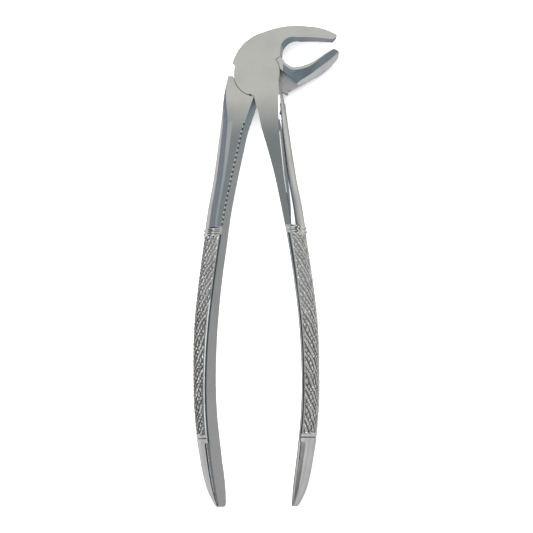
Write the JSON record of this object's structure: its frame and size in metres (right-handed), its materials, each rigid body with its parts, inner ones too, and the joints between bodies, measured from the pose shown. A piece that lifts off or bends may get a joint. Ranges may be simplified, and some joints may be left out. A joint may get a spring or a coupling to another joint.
{
  "type": "extraction forceps",
  "caption": "Lower-tooth extraction forceps: two crossed steel halves with right-angled beaks, a riveted lap joint and cross-hatched handles.",
  "frame": {"origin": "centre of the pivot at the rear face of the round lap joint", "axes": "+Z along the pivot axis from the rear joint face to the front one, +Y from the handle ends towards the joint, +X the way the beaks point"},
  "size_m": [0.0506, 0.1599, 0.0118],
  "materials": {
    "forged_steel": "satin flats with polished bevels",
    "rivet_steel": "ground flush"
  },
  "bodies": {
    "front": {"front_half": "forged_steel", "pivot_rivet": "rivet_steel"},
    "rear": {"rear_half": "forged_steel"}
  },
  "joints": [
    {"name": "pivot", "type": "hinge", "parent": "front", "child": "rear", "pos_m": [0, 0, 0.0046], "axis": [0, 0, 1], "range_deg": [-24, 0]}
  ]
}
